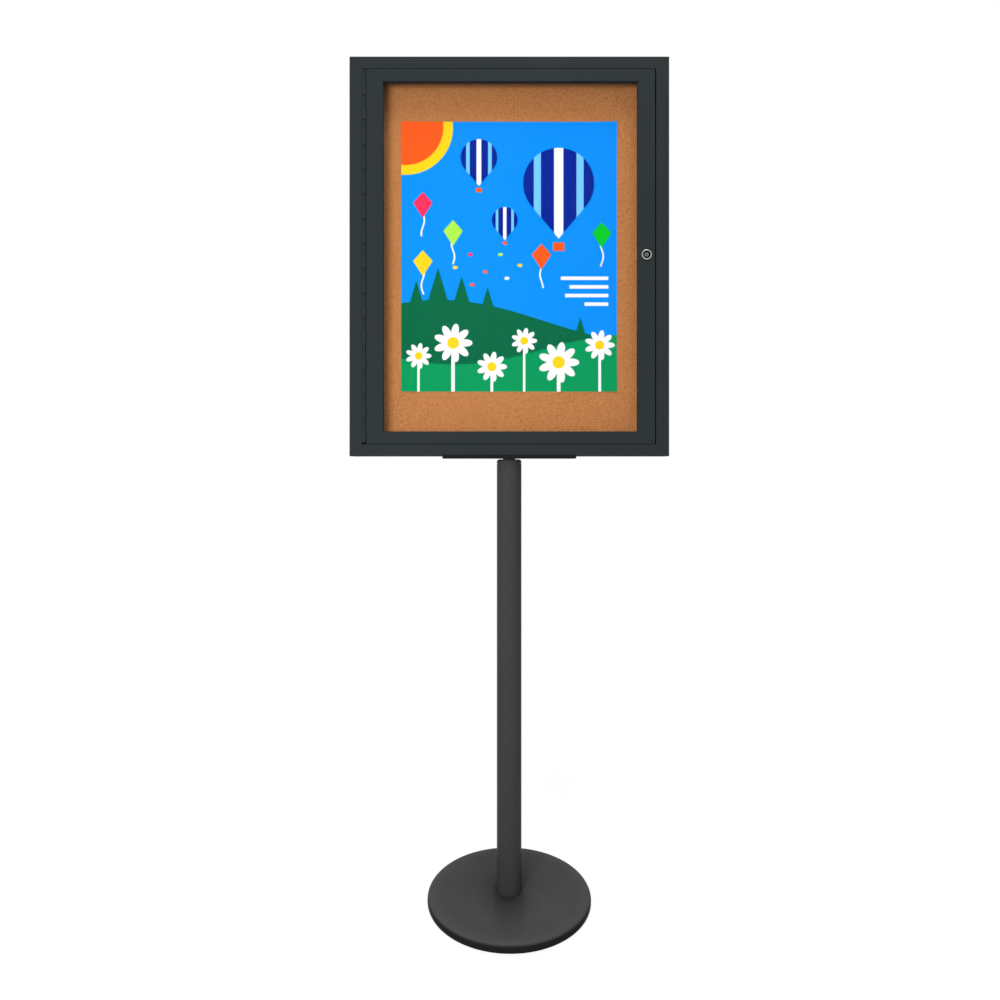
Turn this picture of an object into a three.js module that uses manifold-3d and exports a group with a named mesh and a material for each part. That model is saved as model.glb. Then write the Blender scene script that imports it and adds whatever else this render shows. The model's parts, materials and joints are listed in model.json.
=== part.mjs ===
// A lockable notice board on a post: a shallow glazed cabinet with a pinboard inside,
// a door on a piano hinge with a cam lock, and a round post on a weighted disc.
// Millimetres, +Z up. The front faces -Y. The origin is on the floor, under the post.
import * as THREE from 'three';
import { mergeVertices } from 'three/addons/utils/BufferGeometryUtils.js';
import Module from 'manifold-3d';

const wasm = await Module();
wasm.setup();

// Clearances that all pieces share
const fit = 0.3;
const mitreGap = 0.2;
const overrun = 2;

// Facets round turned pieces and in rounded corners
const discFacets = 56;
const postFacets = 32;
const lockFacets = 24;
const screwFacets = 12;
const cornerSteps = 5;
const knuckleSteps = 13;
const curlSteps = 3;
const boreSteps = 10;

// Floor disc: rubber ring, iron weight and spun cover
const baseRadius = 158;
const baseHeight = 20;
const coverSheet = 1.5;
const coverEdge = 9;
const coverCurl = 7;
const coverLift = 1.2;
const ringThickness = 2.5;
const ringWidth = 32;
const ringInset = 8;
const counterboreDepth = 9;

// Bolt that holds the disc to the post
const baseBoltRadius = 6;
const baseBoltGrip = 24;
const baseHeadRadius = 9.5;
const baseHeadHeight = 5.2;
const washerRadius = 14;
const washerThickness = 2.2;

// Post, the plug welded in its foot and the cap welded on its top
const postRadius = 24;
const postWall = 2;
const footPlugHeight = 28;
const capRim = 3;
const capShoulder = 5;
const capSpigot = 30;
const neckRadius = 12;
const neckHeight = 1.2;

// Plate under the cabinet with its low lips, its bolt and its four screws
const headLift = 862;
const plateWidth = 256;
const plateThickness = 4;
const plateCorner = 5;
const plateLipHeight = 3;
const plateLipThickness = 2;
const plateBoltRadius = 3;
const plateBoltHead = 6;
const plateBoltLength = 26;
const plateScrewRadius = 2.5;
const plateScrewHead = 4.8;
const plateScrewGrip = 9;
const plateScrewInset = 16;

// Cabinet: four mitred bars of one hollow section
const headWidth = 609.6;
const headHeight = 762;
const wall = 1.8;
const stileBorder = 24.8;
const railBorder = 22.8;
const lipReach = 8;
const displayDepth = 13.9;
const ribReach = 14;
const grooveWall = 3.3;
const grooveWidth = 3.4;
const keyArm = 46;

// Pinboard, sheets behind it and the printed sheet on it
const corkThickness = 6;
const backingThickness = 9.4;
const panelThickness = 1.5;
const panelInset = 0.5;
const posterWidth = 422;
const posterHeight = 528;
const posterThickness = 0.5;
const posterRise = 10;
const backScrewRadius = 1.4;
const backScrewHead = 3.2;
const backScrewHeadHeight = 1.8;
const backScrewGrip = 9;

// Door: four mitred bars with a glazing groove
const doorThickness = 16;
const doorRail = 23;
const doorSideGap = 2.2;
const doorEndGap = 1;
const sealThickness = 1.9;
const sealWidth = 5.5;
const sealInset = 1.2;
const flangeThickness = 2.2;
const flangeSetback = 2;
const glazingGroove = 7;
const glazingSlot = 6.4;
const glassThickness = 3;
const glassReach = 5;
const gasketProud = 0.6;

// Piano hinge
const knuckleRadius = 3;
const leafThickness = 1.2;
const pinRadius = knuckleRadius - leafThickness - fit;
const leafInset = 1.6;
const hingeProud = 0.4;
const knucklePitch = 24;
const knuckleGap = 0.4;
const hingeInset = 3;
const pinEnd = 1.5;

// Cam lock
const lockBodyRadius = 7;
const bezelRadius = 10;
const bezelThickness = 2.5;
const bezelEdge = 1.2;
const recessRadius = 6.2;
const recessDepth = 2;
const plugRadius = 4;
const plugProud = 0.8;
const keywayWidth = 1.3;
const keywayHeight = 5.4;
const keywayDepth = 12;
const nutWall = 1.2;
const nutThickness = 3;
const lockClear = 1.9;
const lockRoom = 0.6;
const lockRise = 3;
const camClear = 1;
const camThickness = 2;
const camHalfWidth = 6.5;
const camTip = 4.5;
const tangHalf = 2.6;
const camScrewRadius = 1.5;
const camScrewHead = 4;
const camScrewHeadHeight = 2.2;
const camScrewGrip = 6;

// Place of the back screws along each side, as a share of half that side
const backScrewShare = 0.5;

// Depths behind the front face of the head
const lipFront = doorThickness + fit + sealThickness + fit;
const lipBack = lipFront + wall;
const ribFront = lipBack + displayDepth;
const corkFront = ribFront + wall + fit;
const backingFront = corkFront + corkThickness + fit;
const headDepth = backingFront + backingThickness;
const panelFront = headDepth + fit;
const headFront = -(panelFront + panelThickness) / 2;

// Lock, stile and door sizes that follow from each other
const nutHalf = lockBodyRadius + fit + nutWall;
const lockInset = lipReach - doorSideGap + lockClear + nutHalf;
const doorStile = lockInset + lockBodyRadius + lockRoom + wall + glazingGroove;
const doorLeft = stileBorder + fit + knuckleRadius * 2 + fit;
const doorWidth = headWidth - doorLeft - stileBorder - doorSideGap;
const doorHeight = headHeight - (railBorder + doorEndGap) * 2;

const finishes = {
  charcoal: { color: 0x353c3e, roughness: 0.5, metalness: 0.3 },
  graphite: { color: 0x2b2c2d, roughness: 0.45, metalness: 0.3 },
  black: { color: 0x1f1e1e, roughness: 0.5, metalness: 0.3 },
  rubber: { color: 0x161616, roughness: 0.9, metalness: 0 },
  iron: { color: 0x4a4846, roughness: 0.8, metalness: 0.6 },
  zinc: { color: 0x9a9c9e, roughness: 0.4, metalness: 0.9 },
  nickel: { color: 0xcfd0d2, roughness: 0.2, metalness: 1 },
  cork: { color: 0xb97d4c, roughness: 0.95, metalness: 0 },
  fibreboard: { color: 0x8a6a48, roughness: 0.9, metalness: 0 },
  paper: { color: 0x009aff, roughness: 0.6, metalness: 0 },
  glass: { color: 0xeef4f5, roughness: 0.05, metalness: 0, transparent: true, opacity: 0.25 },
};

// Adds a named piece of one finish to a group
function addPiece(group, name, geometry, finish) {
  const mesh = new THREE.Mesh(geometry, new THREE.MeshStandardMaterial(finishes[finish]));
  mesh.name = name;
  group.add(mesh);
  return mesh;
}

// The solid of a closed geometry, for cutting and joining
function solidOf(geometry) {
  const bare = geometry.clone();
  bare.deleteAttribute('normal');
  bare.deleteAttribute('uv');
  const welded = mergeVertices(bare);
  const corners = welded.index.array;
  const faces = [];
  for (let i = 0; i < corners.length; i += 3) {
    const [a, b, c] = corners.slice(i, i + 3);
    if (a !== b && b !== c && c !== a) faces.push(a, b, c);
  }
  return new wasm.Manifold(new wasm.Mesh({
    numProp: 3,
    vertProperties: Float32Array.from(welded.attributes.position.array),
    triVerts: Uint32Array.from(faces),
  }));
}

// The geometry of a solid that was cut or joined
function geometryOf(solid) {
  const mesh = solid.getMesh();
  const geometry = new THREE.BufferGeometry();
  geometry.setAttribute('position', new THREE.BufferAttribute(mesh.vertProperties, 3));
  geometry.setIndex(new THREE.BufferAttribute(mesh.triVerts, 1));
  geometry.computeVertexNormals();
  return geometry;
}

function cut(geometry, tools) {
  return geometryOf(tools.reduce((rest, tool) => rest.subtract(solidOf(tool)), solidOf(geometry)));
}

function join(geometries) {
  return geometryOf(geometries.map(solidOf).reduce((whole, next) => whole.add(next)));
}

// Points along an arc of an outline, ends included
function arc(x, y, radius, from, to, steps) {
  const points = [];
  for (let i = 0; i <= steps; i += 1) {
    const angle = from + ((to - from) * i) / steps;
    points.push([x + radius * Math.cos(angle), y + radius * Math.sin(angle)]);
  }
  return points;
}

function circle(x, y, radius, steps) {
  return arc(x, y, radius, 0, Math.PI * 2, steps).slice(1);
}

function rectangle(x0, y0, x1, y1) {
  return [[x0, y0], [x1, y0], [x1, y1], [x0, y1]];
}

// A rectangle about the origin, or one that is moved up or down
function centred(width, height, rise = 0) {
  return rectangle(-width / 2, rise - height / 2, width / 2, rise + height / 2);
}

function roundedRectangle(width, height, radius) {
  const x = width / 2 - radius;
  const y = height / 2 - radius;
  const quarter = Math.PI / 2;
  return [[x, y], [-x, y], [-x, -y], [x, -y]].flatMap(
    ([cx, cy], i) => arc(cx, cy, radius, quarter * i, quarter * (i + 1), cornerSteps));
}

function shapeOf(points, holes) {
  const shape = new THREE.Shape(points.map(([x, y]) => new THREE.Vector2(x, y)));
  shape.holes = holes.map((hole) => new THREE.Path(hole.map(([x, y]) => new THREE.Vector2(x, y))));
  return shape;
}

// A prism that stands on its outline, between two heights
function standing(points, bottom, top, holes = []) {
  const prism = new THREE.ExtrudeGeometry(shapeOf(points, holes), {
    depth: top - bottom,
    bevelEnabled: false,
  });
  return prism.translate(0, 0, bottom);
}

// A plate whose outline faces the viewer, between two depths
function facing(points, front, back, holes = []) {
  return standing(points, -back, -front, holes).rotateX(Math.PI / 2);
}

// A piece turned about the depth axis, from points of radius and depth
function turned(profile, facets) {
  return new THREE.LatheGeometry(profile.map(([r, y]) => new THREE.Vector2(r, y)), facets);
}

// A piece turned about the upright axis, from points of radius and height
function turnedUpright(profile, facets) {
  return turned(profile, facets).rotateX(Math.PI / 2);
}

function ringProfile(inner, outer, bottom, top) {
  return [[inner, bottom], [outer, bottom], [outer, top], [inner, top], [inner, bottom]];
}

function rodProfile(radius, bottom, top) {
  return [[0, bottom], [radius, bottom], [radius, top], [0, top]];
}

// A pan head screw whose head seat is at zero and whose tip points down the axis
function panScrew(shank, grip, head, headHeight) {
  const dome = arc(head - headHeight, 0, headHeight, 0, Math.PI / 2, 3);
  return turned([[0, -grip], [shank, -grip], [shank, 0], ...dome, [0, headHeight]], screwFacets);
}

// A bar of one section, drawn inward from its outer face and back from its front.
// The mitre says how far each end falls back for each step inward.
function mitredBar({ outer, holes }, length, mitre) {
  const bar = new THREE.ExtrudeGeometry(shapeOf(outer, holes), { depth: 1, bevelEnabled: false });
  const place = bar.attributes.position;
  for (let i = 0; i < place.count; i += 1) {
    const end = Math.sign(place.getZ(i) - 1 / 2);
    place.setZ(i, end * (length / 2 - mitreGap - place.getX(i) * mitre));
  }
  return bar;
}

// Puts four mitred bars round a rectangle
function addFrame(group, name, finish, width, height, bars) {
  const sides = [
    ['left_stile', -width / 2, 0, 0],
    ['right_stile', width / 2, 0, Math.PI],
    ['bottom_rail', 0, -height / 2, -Math.PI / 2],
    ['top_rail', 0, height / 2, Math.PI / 2],
  ];
  for (const [side, x, z, turn] of sides) {
    const bar = addPiece(group, `${name}_${side}`, bars[side], finish);
    bar.position.set(x, 0, z);
    bar.rotation.y = turn;
  }
}

// Cast L-shaped keys that fill the hollows of the bars across each mitre
function addKeys(group, name, width, height, mitre, stileHollow, railHollow, front, back) {
  const outer = wall + fit;
  const x = Math.min(stileHollow - fit, (railHollow - fit) / mitre);
  const z = x * mitre;
  const corner = [[outer, outer], [keyArm, outer], [keyArm, z], [x, z], [x, keyArm], [outer, keyArm]];
  for (const [level, up] of [['lower', -1], ['upper', 1]]) {
    for (const [side, right] of [['left', -1], ['right', 1]]) {
      const points = corner.map(([u, w]) => [right * (width / 2 - u), up * (height / 2 - w)]);
      addPiece(group, `${name}_key_${level}_${side}`, facing(points, front + fit, back - fit), 'zinc');
    }
  }
}

const board = new THREE.Group();

// Floor disc
function addBase(group) {
  const weightBottom = ringThickness + fit;
  const weightTop = baseHeight - coverSheet - fit;
  const counterTop = weightBottom + counterboreDepth;
  const washerTop = counterTop - fit;
  const washerBottom = washerTop - washerThickness;
  const boltHole = baseBoltRadius + fit;
  const edgeX = baseRadius - coverEdge;
  const edgeZ = baseHeight - coverEdge;
  const curlTurn = Math.PI / 3;
  const curlX = baseRadius - coverCurl;
  const curlZ = coverLift + coverCurl * Math.sin(curlTurn);

  const ringOuter = baseRadius - ringInset;
  const ring = ringProfile(ringOuter - ringWidth, ringOuter, 0, ringThickness);
  addPiece(group, 'floor_ring', turnedUpright(ring, discFacets), 'rubber');

  const weightRadius = baseRadius - coverSheet - fit;
  const weightEdge = weightRadius - edgeX;
  const weightCurl = weightRadius - curlX;
  const weightTurn = Math.asin((curlZ - weightBottom) / weightCurl);
  const counterbore = washerRadius + fit;
  const weight = [
    [counterbore, weightBottom], ...arc(curlX, curlZ, weightCurl, -weightTurn, 0, curlSteps),
    ...arc(edgeX, edgeZ, weightEdge, 0, Math.PI / 2, cornerSteps),
    [boltHole, weightTop], [boltHole, counterTop], [counterbore, counterTop],
    [counterbore, weightBottom],
  ];
  addPiece(group, 'base_weight', turnedUpright(weight, discFacets), 'iron');

  const curl = arc(curlX, curlZ, coverCurl, -curlTurn, 0, curlSteps);
  const cover = [
    ...curl,
    ...arc(edgeX, edgeZ, coverEdge, 0, Math.PI / 2, cornerSteps),
    [boltHole, baseHeight], [boltHole, baseHeight - coverSheet],
    ...arc(edgeX, edgeZ, coverEdge - coverSheet, Math.PI / 2, 0, cornerSteps),
    ...arc(curlX, curlZ, coverCurl - coverSheet, 0, -curlTurn, curlSteps), curl[0],
  ];
  addPiece(group, 'base_cover', turnedUpright(cover, discFacets), 'graphite');

  const washer = ringProfile(boltHole, washerRadius, washerBottom, washerTop);
  addPiece(group, 'base_washer', turnedUpright(washer, lockFacets), 'zinc');

  const seat = washerBottom - fit;
  const boltLength = baseHeight + baseBoltGrip - seat;
  const bolt = panScrew(baseBoltRadius, boltLength, baseHeadRadius, baseHeadHeight);
  addPiece(group, 'base_bolt', bolt.rotateX(-Math.PI / 2).translate(0, 0, seat), 'zinc');
}

// Post with its foot plug and its cap
function addPost(group) {
  const foot = baseHeight + fit;
  const bore = postRadius - postWall;
  const neckTop = headLift - fit - plateThickness - fit;
  const shoulderTop = neckTop - neckHeight;
  const rimBottom = shoulderTop - capShoulder - capRim;
  const tubeTop = rimBottom - fit;

  const tube = ringProfile(bore, postRadius, foot, tubeTop);
  addPiece(group, 'pole_tube', turnedUpright(tube, postFacets), 'graphite');

  const plug = ringProfile(baseBoltRadius + fit, bore - fit, foot, foot + footPlugHeight);
  addPiece(group, 'pole_foot_plug', turnedUpright(plug, postFacets), 'iron');

  const spigot = bore - fit;
  const boltHole = plateBoltRadius + fit;
  const spigotBottom = tubeTop - capSpigot;
  const shoulder = arc(
    postRadius - capShoulder, shoulderTop - capShoulder, capShoulder, 0, Math.PI / 2, cornerSteps);
  const cap = [
    [boltHole, spigotBottom], [spigot, spigotBottom], [spigot, rimBottom], [postRadius, rimBottom],
    ...shoulder, [neckRadius, shoulderTop], [neckRadius, neckTop], [boltHole, neckTop],
    [boltHole, spigotBottom],
  ];
  addPiece(group, 'pole_top_cap', turnedUpright(cap, postFacets), 'black');
}

// A countersunk screw that points up from the face of its head
function sunkScrew(shank, head, length) {
  return [[0, 0], [head, 0], [shank, head - shank], [shank, length], [0, length]];
}

// The tool that cuts the seat of a countersunk screw through a plate
function sunkSeat(shank, head, depth) {
  const mouth = head + fit * 2;
  const hole = shank + fit;
  return [
    [0, -overrun], [mouth + overrun, -overrun], [hole, mouth - hole], [hole, depth + overrun],
    [0, depth + overrun],
  ];
}

function upsideDown(profile) {
  return profile.map(([r, z]) => [r, -z]).reverse();
}

// Plate between the post and the cabinet. Its lips hold the cabinet's foot in front and behind.
const plateTop = headLift - fit;
const plateSeat = (fit - headFront) * 2;
const plateScrewX = plateWidth / 2 - plateScrewInset;
const plateScrewDepths = [(wall + lipFront) / 2, (lipBack + ribFront) / 2];
const plateScrews = plateScrewDepths.flatMap(
  (depth) => [[-plateScrewX, headFront + depth], [plateScrewX, headFront + depth]]);

function addPlate(group) {
  const plateBottom = plateTop - plateThickness;
  const boltFace = plateTop - fit;
  const screwFace = plateBottom + fit;
  const blank = standing(
    roundedRectangle(plateWidth, plateSeat + plateLipThickness * 2, plateCorner),
    plateBottom, plateTop + plateLipHeight);
  const trough = standing(
    centred(plateWidth + overrun * 2, plateSeat), plateTop, plateTop + plateLipHeight + overrun);
  const boltSeat = turnedUpright(
    upsideDown(sunkSeat(plateBoltRadius, plateBoltHead, plateThickness)), lockFacets);
  const screwSeats = plateScrews.map(([x, y]) => {
    const seat = sunkSeat(plateScrewRadius, plateScrewHead, plateThickness);
    return turnedUpright(seat, screwFacets).translate(x, y, screwFace);
  });
  const tools = [trough, boltSeat.translate(0, 0, boltFace), ...screwSeats];
  addPiece(group, 'head_plate', cut(blank, tools), 'black');

  const bolt = upsideDown(sunkScrew(plateBoltRadius, plateBoltHead, plateBoltLength));
  const boltMesh = addPiece(group, 'plate_bolt', turnedUpright(bolt, lockFacets), 'zinc');
  boltMesh.position.z = boltFace;

  const screwLength = plateThickness + plateScrewGrip;
  plateScrews.forEach(([x, y], i) => {
    const screw = sunkScrew(plateScrewRadius, plateScrewHead, screwLength);
    const mesh = addPiece(
      group, `plate_screw_${i + 1}`, turnedUpright(screw, screwFacets), 'black');
    mesh.position.set(x, y, screwFace);
  });
}

// Section of a cabinet bar: a front hollow, a stop lip, a rib and a screw groove
function cabinetSection(border) {
  const grooveBack = grooveWall + grooveWidth;
  const ribBack = ribFront + wall;
  const outer = [
    [0, 0], [border, 0], [border, lipFront], [border + lipReach, lipFront],
    [border + lipReach, lipBack], [wall, lipBack], [wall, ribFront], [ribReach, ribFront],
    [ribReach, ribBack], [grooveBack + wall, ribBack], [grooveBack + wall, headDepth],
    [grooveBack, headDepth], [grooveBack, ribBack], [grooveWall, ribBack],
    [grooveWall, headDepth], [0, headDepth],
  ];
  return { outer, holes: [rectangle(wall, wall, border - wall, lipFront)] };
}

function addCabinet(head) {
  const mitre = railBorder / stileBorder;
  const stile = mitredBar(cabinetSection(stileBorder), headHeight, mitre);
  const rail = mitredBar(cabinetSection(railBorder), headWidth, stileBorder / railBorder);
  const holes = plateScrews.map(([x, y]) => {
    const drill = turned(rodProfile(plateScrewRadius + fit, -overrun, wall + overrun), screwFacets);
    return drill.rotateZ(-Math.PI / 2).translate(0, y - headFront, -x);
  });
  addFrame(head, 'cabinet', 'charcoal', headWidth, headHeight, {
    left_stile: stile,
    right_stile: stile.clone(),
    bottom_rail: cut(rail, holes),
    top_rail: rail.clone(),
  });
  addKeys(
    head, 'cabinet', headWidth, headHeight, mitre, stileBorder - wall, railBorder - wall,
    wall, lipFront);
}

// Cork, fibreboard and back panel, held between the ribs and the back screws
function addPinboard(head) {
  const boardInset = grooveWall + grooveWidth + wall + fit;
  const boardOutline = centred(headWidth - boardInset * 2, headHeight - boardInset * 2);
  const cork = facing(boardOutline, corkFront, corkFront + corkThickness);
  addPiece(head, 'cork_sheet', cork, 'cork');
  addPiece(head, 'backing_board', facing(boardOutline, backingFront, headDepth), 'fibreboard');

  const posterBack = corkFront - fit;
  const poster = facing(
    centred(posterWidth, posterHeight, posterRise), posterBack - posterThickness, posterBack);
  addPiece(head, 'poster', poster, 'paper');

  const screwInset = grooveWall + grooveWidth / 2;
  const sideX = headWidth / 2 - screwInset;
  const endZ = headHeight / 2 - screwInset;
  const alongX = (headWidth / 2) * backScrewShare;
  const alongZ = (headHeight / 2) * backScrewShare;
  const screws = [[sideX, alongZ], [alongX, endZ]].flatMap(
    ([x, z]) => [[-x, -z], [x, -z], [-x, z], [x, z]]);
  const panel = facing(
    centred(headWidth - panelInset * 2, headHeight - panelInset * 2),
    panelFront, panelFront + panelThickness,
    screws.map(([x, z]) => circle(x, z, backScrewRadius + fit, screwFacets)));
  addPiece(head, 'back_panel', panel, 'charcoal');
  screws.forEach(([x, z], i) => {
    const grip = panelThickness + fit * 2 + backScrewGrip;
    const screw = panScrew(backScrewRadius, grip, backScrewHead, backScrewHeadHeight);
    const mesh = addPiece(head, `back_screw_${i + 1}`, screw, 'zinc');
    mesh.position.set(x, panelFront + panelThickness + fit, z);
  });
}

// Sponge strip on the front of the stop lip
function addSeal(head) {
  const outerWidth = headWidth - (stileBorder + sealInset) * 2;
  const outerHeight = headHeight - (railBorder + sealInset) * 2;
  const inner = centred(outerWidth - sealWidth * 2, outerHeight - sealWidth * 2);
  const front = doorThickness + fit;
  const seal = facing(centred(outerWidth, outerHeight), front, front + sealThickness, [inner]);
  addPiece(head, 'door_seal', seal, 'rubber');
}

// Leaf of the piano hinge, with every second knuckle, about the pin's axis
function hingeLeaf(side, first) {
  const length = doorHeight - hingeInset * 2;
  const count = Math.round(length / (knucklePitch * 2)) * 2;
  const pitch = length / count;
  const notch = knuckleRadius + fit;
  const inside = knuckleRadius - leafThickness;
  const back = doorThickness - leafInset + hingeProud;
  const root = notch + leafThickness;
  const meet = Math.acos(inside / knuckleRadius);
  const tongue = [
    [knuckleRadius, root], ...arc(0, 0, knuckleRadius, 0, meet - Math.PI * 2, knuckleSteps),
    [inside, root],
  ].map(([x, y]) => [side * x, y]);
  const bore = circle(0, 0, pinRadius + fit, boreSteps);
  const plate = standing(
    rectangle(side * inside, notch, side * knuckleRadius, back), -length / 2, length / 2);
  const knuckles = [];
  for (let i = first; i < count; i += 2) {
    const bottom = pitch * i - length / 2;
    knuckles.push(standing(tongue, bottom + knuckleGap / 2, bottom + pitch - knuckleGap / 2, [bore]));
  }
  return join([plate, ...knuckles]);
}

const hinge = new THREE.Vector3(stileBorder + fit + knuckleRadius - headWidth / 2, -hingeProud, 0);

function addHinge(head) {
  const cabinetLeaf = addPiece(head, 'hinge_cabinet_leaf', hingeLeaf(-1, 0), 'charcoal');
  cabinetLeaf.position.copy(hinge);
  const pinHalf = doorHeight / 2 - hingeInset + pinEnd;
  const pin = addPiece(
    head, 'hinge_pin', turnedUpright(rodProfile(pinRadius, -pinHalf, pinHalf), screwFacets), 'zinc');
  pin.position.copy(hinge);
  const doorLeaf = addPiece(head, 'hinge_door_leaf', hingeLeaf(1, 1), 'charcoal');
  doorLeaf.position.copy(hinge);
}

// Section of a door bar: a hollow with two flanges that hold the glazing, the back one set back
function doorSection(border) {
  const root = border - glazingGroove;
  const slotBack = flangeThickness + glazingSlot;
  const outer = [
    [0, 0], [border, 0], [border, flangeThickness], [root, flangeThickness], [root, slotBack],
    [border - flangeSetback, slotBack], [border - flangeSetback, slotBack + wall],
    [root, slotBack + wall], [root, doorThickness], [0, doorThickness],
  ];
  return { outer, holes: [rectangle(wall, wall, root - wall, doorThickness - wall)] };
}

function addDoor(door) {
  const mitre = doorRail / doorStile;
  const stile = mitredBar(doorSection(doorStile), doorHeight, mitre);
  const rail = mitredBar(doorSection(doorRail), doorWidth, doorStile / doorRail);
  const lockHole = turned(
    rodProfile(lockBodyRadius + fit, -overrun, doorThickness + overrun), lockFacets);
  addFrame(door, 'door', 'charcoal', doorWidth, doorHeight, {
    left_stile: stile,
    right_stile: cut(stile, [lockHole.translate(lockInset, 0, -lockRise)]),
    bottom_rail: rail,
    top_rail: rail.clone(),
  });
  const hollowBack = glazingGroove + wall;
  addKeys(
    door, 'door', doorWidth, doorHeight, mitre, doorStile - hollowBack, doorRail - hollowBack,
    wall, doorThickness - wall);
}

// Clear sheet in a U-shaped gasket, both seated in the groove of the bars
function addGlazing(door) {
  const windowWidth = doorWidth - doorStile * 2;
  const windowHeight = doorHeight - doorRail * 2;
  const middle = flangeThickness + glazingSlot / 2;
  const grown = (size) => centred(windowWidth + size * 2, windowHeight + size * 2);
  const slab = (size, half) => facing(grown(size), middle - half, middle + half);
  addPiece(door, 'glazing', slab(glassReach, glassThickness / 2), 'glass');
  const gasket = facing(
    grown(glazingGroove - fit), flangeThickness + fit, flangeThickness + glazingSlot - fit,
    [grown(-gasketProud)]);
  const slot = slab(glassReach + fit, glassThickness / 2 + fit);
  addPiece(door, 'glazing_gasket', cut(gasket, [slot]), 'rubber');
}

// Cam lock, about its own axis. The cam hangs down when the door is unlocked.
function addLock(lock) {
  const front = -fit - bezelThickness;
  const recessFloor = front + recessDepth;
  const camFront = lipBack + camClear;
  const camBack = camFront + camThickness;
  const bodyBack = camFront - fit;
  const bore = plugRadius + fit;

  const body = [
    [bore, recessFloor], [recessRadius, recessFloor], [recessRadius, front],
    ...arc(bezelRadius - bezelEdge, front + bezelEdge, bezelEdge, -Math.PI / 2, 0, 3),
    [bezelRadius, -fit], [lockBodyRadius, -fit], [lockBodyRadius, bodyBack], [bore, bodyBack],
    [bore, recessFloor],
  ];
  addPiece(lock, 'lock_body', turned(body, lockFacets), 'nickel');

  const nutFront = doorThickness + fit;
  const corners = circle(0, 0, nutHalf / Math.cos(Math.PI / 6), 6);
  const hexagon = corners.map(([x, z]) => [z, x]);
  const nutHole = circle(0, 0, lockBodyRadius + fit, lockFacets);
  addPiece(lock, 'lock_nut', facing(hexagon, nutFront, nutFront + nutThickness, [nutHole]), 'zinc');

  const plugFront = recessFloor - plugProud;
  const keyway = facing(
    centred(keywayWidth, keywayHeight), plugFront - overrun, plugFront + keywayDepth);
  const tang = facing(centred(tangHalf * 2, tangHalf * 2), bodyBack - overrun, camBack);
  const threadBottom = camBack - camScrewGrip - fit;
  const thread = turned(
    rodProfile(camScrewRadius + fit, threadBottom, camBack + overrun), screwFacets);
  const cylinder = turned(rodProfile(plugRadius, plugFront, bodyBack), lockFacets);
  addPiece(lock, 'lock_plug', cut(join([cylinder, tang]), [keyway, thread]), 'nickel');

  const camReach = lockClear + nutHalf + lipReach;
  const camOutline = [
    ...arc(0, 0, camHalfWidth, 0, Math.PI, cornerSteps * 2),
    ...arc(0, camTip - camReach, camTip, Math.PI, Math.PI * 2, cornerSteps * 2),
  ];
  const camHole = centred((tangHalf + fit) * 2, (tangHalf + fit) * 2);
  addPiece(lock, 'lock_cam', facing(camOutline, camFront, camBack, [camHole]), 'zinc');

  const screw = panScrew(camScrewRadius, camScrewGrip, camScrewHead, camScrewHeadHeight);
  addPiece(lock, 'cam_screw', screw.translate(0, camBack + fit, 0), 'zinc');
}

addBase(board);
addPost(board);
addPlate(board);

const head = new THREE.Group();
head.position.set(0, headFront, headLift + headHeight / 2);
board.add(head);
addCabinet(head);
addPinboard(head);
addSeal(head);
addHinge(head);

const door = new THREE.Group();
door.position.x = doorLeft + doorWidth / 2 - headWidth / 2;
head.add(door);
addDoor(door);
addGlazing(door);

const lock = new THREE.Group();
lock.position.set(doorWidth / 2 - lockInset, 0, lockRise);
door.add(lock);
addLock(lock);

export default board;
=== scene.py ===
"""A lockable notice board on a post: a cabinet with a cork board behind a glazed, hinged door."""
import json
import math

import bmesh
import bpy
from mathutils import Matrix, Vector


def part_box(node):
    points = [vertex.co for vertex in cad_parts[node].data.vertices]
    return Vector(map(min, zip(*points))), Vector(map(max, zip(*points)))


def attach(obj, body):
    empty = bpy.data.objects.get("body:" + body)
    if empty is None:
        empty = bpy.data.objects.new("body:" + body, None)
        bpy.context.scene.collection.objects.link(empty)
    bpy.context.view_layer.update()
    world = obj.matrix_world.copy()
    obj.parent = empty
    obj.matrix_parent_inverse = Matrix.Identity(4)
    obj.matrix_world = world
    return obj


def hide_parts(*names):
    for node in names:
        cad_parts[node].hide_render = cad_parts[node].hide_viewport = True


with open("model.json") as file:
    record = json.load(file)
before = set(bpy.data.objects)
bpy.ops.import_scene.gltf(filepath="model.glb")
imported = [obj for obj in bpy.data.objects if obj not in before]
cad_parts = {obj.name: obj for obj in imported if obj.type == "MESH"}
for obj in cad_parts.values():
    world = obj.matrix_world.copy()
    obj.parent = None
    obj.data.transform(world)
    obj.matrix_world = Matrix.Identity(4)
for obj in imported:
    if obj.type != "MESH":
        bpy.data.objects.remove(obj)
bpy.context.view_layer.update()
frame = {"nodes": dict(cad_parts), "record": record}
scene = bpy.context.scene


# Camera. It stands level, a little left of the board and about as high as the post's top, and
# looks straight back, so upright edges stay upright as in the photograph.
camera_distance = 1.3465
camera_height = 0.843
camera_left = 0.0178
camera_sensor = 36
camera_lens = 25.43
camera_shift = -0.0338
board_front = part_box("cabinet_left_stile")[0].y
camera_data = bpy.data.cameras.new("camera")
camera_data.sensor_width = camera_sensor
camera_data.lens = camera_lens
camera_data.shift_y = camera_shift
camera = bpy.data.objects.new("camera", camera_data)
camera.location = (-camera_left, board_front - camera_distance, camera_height)
camera.rotation_euler = (math.radians(90), 0, 0)
scene.collection.objects.link(camera)
scene.camera = camera


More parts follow.
